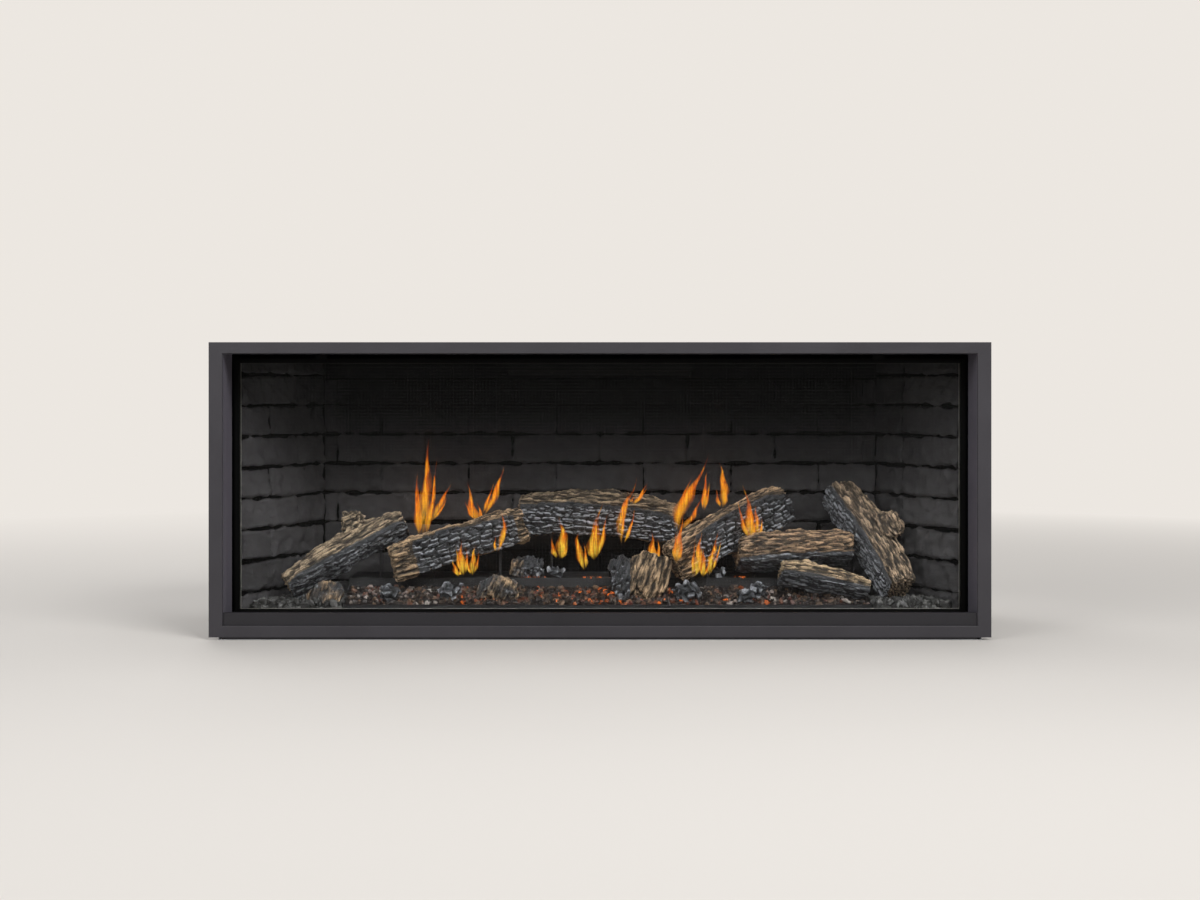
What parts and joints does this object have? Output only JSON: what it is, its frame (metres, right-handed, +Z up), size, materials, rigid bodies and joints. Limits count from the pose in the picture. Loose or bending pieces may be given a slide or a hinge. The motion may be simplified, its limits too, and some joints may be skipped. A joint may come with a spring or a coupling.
{
  "type": "gas fireplace",
  "caption": "Wide built-in gas fireplace with a flat dark trim, tilting glass door, mesh screen, brick-faced firebox, ceramic log set, tray burner, gas controls and rear coaxial vent.",
  "frame": {"origin": "middle of the casing's underside", "axes": "+X to the right seen from the room, +Y into the wall, +Z up"},
  "size_m": [1.644, 0.575, 0.626],
  "materials": {
    "trim_charcoal": "satin",
    "casing_zinc": "matte",
    "firebox_black": "matte",
    "screen_black": "satin",
    "brick_grey": "matte",
    "clear_glass": "polished",
    "gasket_rope": "matte",
    "burner_steel": "matte",
    "stainless": "satin",
    "log_bark": "matte",
    "log_char": "matte",
    "ember": "matte",
    "gravel": "matte",
    "brass": "satin",
    "cast_alloy": "satin",
    "probe_ceramic": "satin",
    "knob_black": "matte",
    "button_red": "gloss"
  },
  "bodies": {
    "fireplace": {"trim_frame": "trim_charcoal", "lower_fascia": "trim_charcoal", "casing_base": "casing_zinc", "casing_back": "casing_zinc", "casing_left": "casing_zinc", "casing_right": "casing_zinc", "casing_top": "casing_zinc", "anchor_tabs": "casing_zinc", "access_cover": "casing_zinc", "casing_screws": "stainless", "firebox_front_flange": "firebox_black", "firebox_floor": "firebox_black", "firebox_left_wall": "firebox_black", "firebox_right_wall": "firebox_black", "firebox_back_wall": "firebox_black", "firebox_ceiling": "firebox_black", "baffle_plate": "firebox_black", "brick_panel_back": "brick_grey", "brick_panel_left": "brick_grey", "brick_panel_right": "brick_grey", "flue_box": "casing_zinc", "flue_collar": "stainless", "intake_collar": "casing_zinc", "door_hinge_brackets": "screen_black", "door_spring_catches": "screen_black", "burner_tray": "burner_steel", "burner_tube": "stainless", "orifice_fitting": "brass", "pilot_burner": "stainless", "pilot_probes": "probe_ceramic", "gas_inlet_elbow": "brass", "shutoff_valve": "brass", "control_bracket": "casing_zinc", "gas_valve": "cast_alloy", "piezo_igniter": "knob_black", "burner_pipe": "cast_alloy", "log_left": "log_bark", "log_left_centre": "log_char", "log_rear": "log_char", "log_centre_right": "log_char", "log_right_rear": "log_bark", "log_right_leaning": "log_bark", "log_right_front": "log_bark", "split_chunks": "log_char", "charcoal_lumps": "log_char", "log_support_pins": "burner_steel", "ember_bed": "ember", "gravel_beds": "gravel"},
    "door": {"door_frame": "screen_black", "door_glass": "clear_glass", "door_gasket": "gasket_rope"},
    "screen": {"screen_frame": "screen_black", "screen_mesh": "screen_black"},
    "restrictor": {"flue_restrictor": "stainless"},
    "relief_flap": {"relief_flap": "firebox_black"},
    "air_shutter": {"air_shutter": "stainless"},
    "shutoff_lever": {"shutoff_lever": "cast_alloy"},
    "valve_knob": {"valve_knob": "knob_black"},
    "flame_knob": {"flame_knob": "knob_black"},
    "igniter_button": {"piezo_button": "button_red"}
  },
  "joints": [
    {"name": "door_tilt", "type": "hinge", "parent": "fireplace", "child": "door", "pos_m": [0, -0.1535, 0.039], "axis": [1, 0, 0], "range_deg": [0, 40], "deforming": ["door_spring_catches"]},
    {"name": "screen_lift", "type": "slide", "parent": "door", "child": "screen", "axis": [0, 0, 1], "range_m": [0, 0.0065]},
    {"name": "restrictor_slide", "type": "slide", "parent": "fireplace", "child": "restrictor", "axis": [1, 0, 0], "range_m": [0, 0.06]},
    {"name": "relief_hinge", "type": "hinge", "parent": "fireplace", "child": "relief_flap", "pos_m": [0, 0.0235, 0.6055], "axis": [-1, 0, 0], "range_deg": [0, 8]},
    {"name": "air_shutter_turn", "type": "hinge", "parent": "fireplace", "child": "air_shutter", "pos_m": [0.49, 0.0685, 0.074], "axis": [1, 0, 0], "range_deg": [0, 60]},
    {"name": "shutoff_turn", "type": "hinge", "parent": "fireplace", "child": "shutoff_lever", "pos_m": [0.59, 0.2185, 0.112], "axis": [0, 0, 1], "range_deg": [0, 90]},
    {"name": "valve_knob_turn", "type": "hinge", "parent": "fireplace", "child": "valve_knob", "pos_m": [0.725, 0.2045, 0.095], "axis": [1, 0, 0], "range_deg": [0, 135]},
    {"name": "flame_knob_turn", "type": "hinge", "parent": "fireplace", "child": "flame_knob", "pos_m": [0.725, 0.2325, 0.095], "axis": [1, 0, 0], "range_deg": [0, 90]},
    {"name": "igniter_push", "type": "slide", "parent": "fireplace", "child": "igniter_button", "axis": [-1, 0, 0], "range_m": [0, 0.005], "stiffness_N_per_m": 1500, "springref_m": -0.003}
  ]
}
